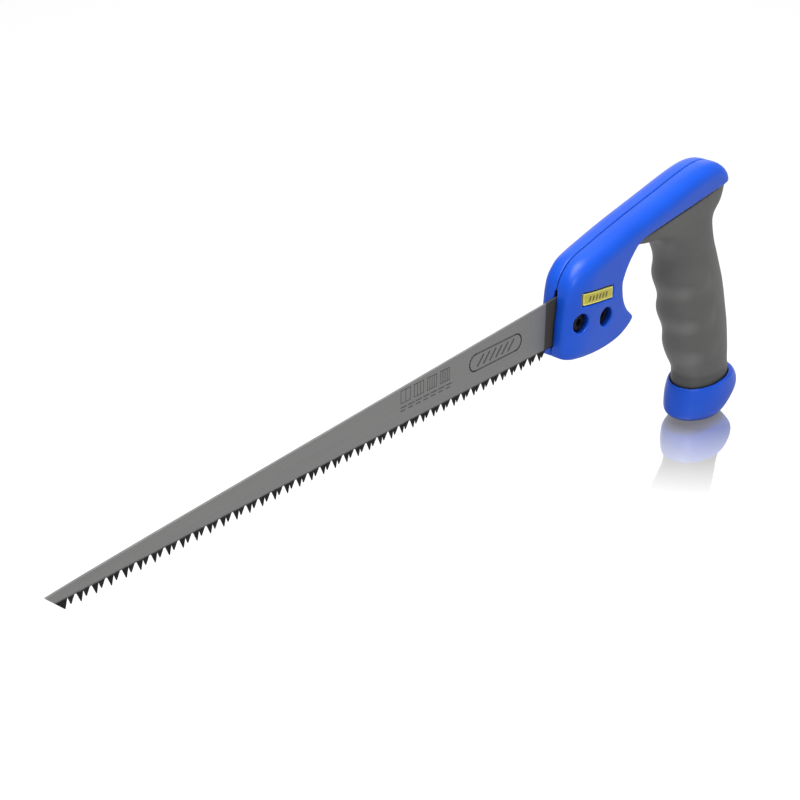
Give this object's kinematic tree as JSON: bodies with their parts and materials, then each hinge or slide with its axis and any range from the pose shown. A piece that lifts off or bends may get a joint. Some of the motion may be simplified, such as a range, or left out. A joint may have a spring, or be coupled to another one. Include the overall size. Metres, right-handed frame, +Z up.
{
  "type": "drywall saw",
  "caption": "Pistol-grip drywall saw: long tapered toothed blade clamped between two blue handle shells, grey soft grip sleeve and blue base cap.",
  "frame": {"origin": "bottom centre of the bounding box, with the saw standing upright on its base cap", "axes": "+X along the tooth line from the blade's point to the handle, +Y the saw's right-hand side, +Z up"},
  "size_m": [0.485, 0.0338, 0.1615],
  "materials": {
    "blade_steel": "satin grey steel with a dark hardened tooth edge",
    "blue_plastic": "smooth semi-gloss moulded blue plastic",
    "grip_rubber": "matte grey thermoplastic rubber",
    "yellow_badge": "yellow printed plate",
    "black_steel": "black oxide",
    "zinc_steel": "bright zinc plate"
  },
  "bodies": {
    "root": {"blade": "blade_steel", "left_handle_shell": "blue_plastic", "left_badge_plate": "yellow_badge", "right_handle_shell": "blue_plastic", "right_badge_plate": "yellow_badge", "grip_sleeve": "grip_rubber", "base_cap": "blue_plastic", "base_cap_screw": "zinc_steel", "front_clamp_nut": "zinc_steel", "front_blade_bush": "zinc_steel", "rear_clamp_nut": "zinc_steel", "rear_blade_bush": "zinc_steel", "upper_stem_screw": "zinc_steel", "lower_stem_screw": "zinc_steel"},
    "front_washer": {"front_clamp_washer": "black_steel"},
    "front_screw": {"front_clamp_screw": "black_steel"},
    "rear_washer": {"rear_clamp_washer": "black_steel"},
    "rear_screw": {"rear_clamp_screw": "black_steel"}
  },
  "joints": [
    {"name": "front_screw_travel", "type": "slide", "parent": "root", "child": "front_washer", "axis": [0, -1, 0], "range_m": [0, 0.005]},
    {"name": "front_screw_turn", "type": "hinge", "parent": "front_washer", "child": "front_screw", "pos_m": [0.07593, -0.006, 0.1066], "axis": [0, -1, 0], "range_deg": [0, 2250]},
    {"name": "rear_screw_travel", "type": "slide", "parent": "root", "child": "rear_washer", "axis": [0, -1, 0], "range_m": [0, 0.005]},
    {"name": "rear_screw_turn", "type": "hinge", "parent": "rear_washer", "child": "rear_screw", "pos_m": [0.09553, -0.006, 0.1042], "axis": [0, -1, 0], "range_deg": [0, 2250]}
  ],
  "couplings": [
    {"joint": "front_screw_turn", "follows": "front_screw_travel", "rad_per_m": 7854},
    {"joint": "rear_screw_turn", "follows": "rear_screw_travel", "rad_per_m": 7854}
  ]
}
